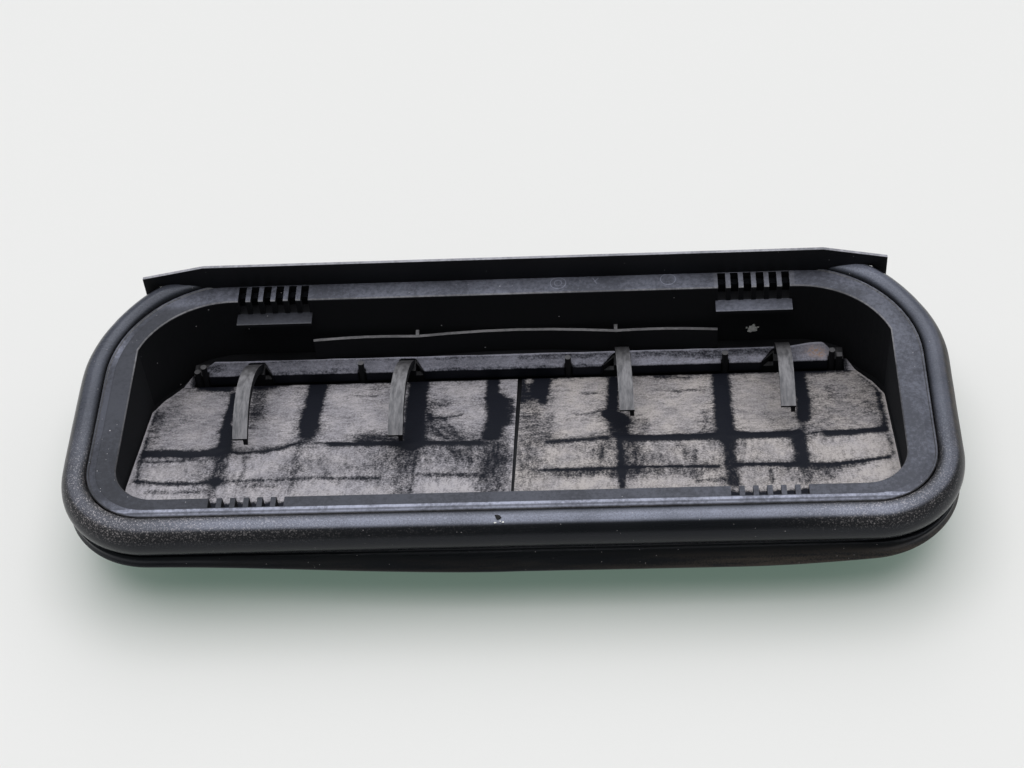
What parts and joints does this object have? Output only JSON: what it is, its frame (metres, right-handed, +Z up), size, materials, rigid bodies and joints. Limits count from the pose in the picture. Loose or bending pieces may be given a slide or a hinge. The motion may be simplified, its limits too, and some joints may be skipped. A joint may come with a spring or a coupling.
{
  "type": "cabin air extractor grille",
  "caption": "Long moulded vent housing with a flange, rubber seal ring, comb slots, arched stop fingers and a sloping seat grid closed by rubber flaps.",
  "frame": {"origin": "centre of the footprint, at the foot of the housing's walls", "axes": "+X along the grille to the picture's right, +Y towards the long side with the upright blade, +Z up out of the flange"},
  "size_m": [0.2724, 0.1172, 0.0429],
  "materials": {
    "moulded_plastic": "fine matt black, a little dusty",
    "seal_rubber": "smooth satin black rubber, dirt on the lower lip",
    "flap_rubber": "thin rubber sheet under pale grey dust"
  },
  "bodies": {
    "frame": {"housing": "moulded_plastic", "seal": "seal_rubber", "flap_strip": "flap_rubber"},
    "left_leaf": {"left_flap": "flap_rubber"},
    "right_leaf": {"right_flap": "flap_rubber"}
  },
  "joints": [
    {"name": "left_flap_hinge", "type": "hinge", "parent": "frame", "child": "left_leaf", "pos_m": [-0.0586, 0.02815, 0.00505], "axis": [-1, 0, 0], "range_deg": [0, 5]},
    {"name": "right_flap_hinge", "type": "hinge", "parent": "frame", "child": "right_leaf", "pos_m": [0.0598, 0.02815, 0.00505], "axis": [-1, 0, 0], "range_deg": [0, 8.4]}
  ]
}
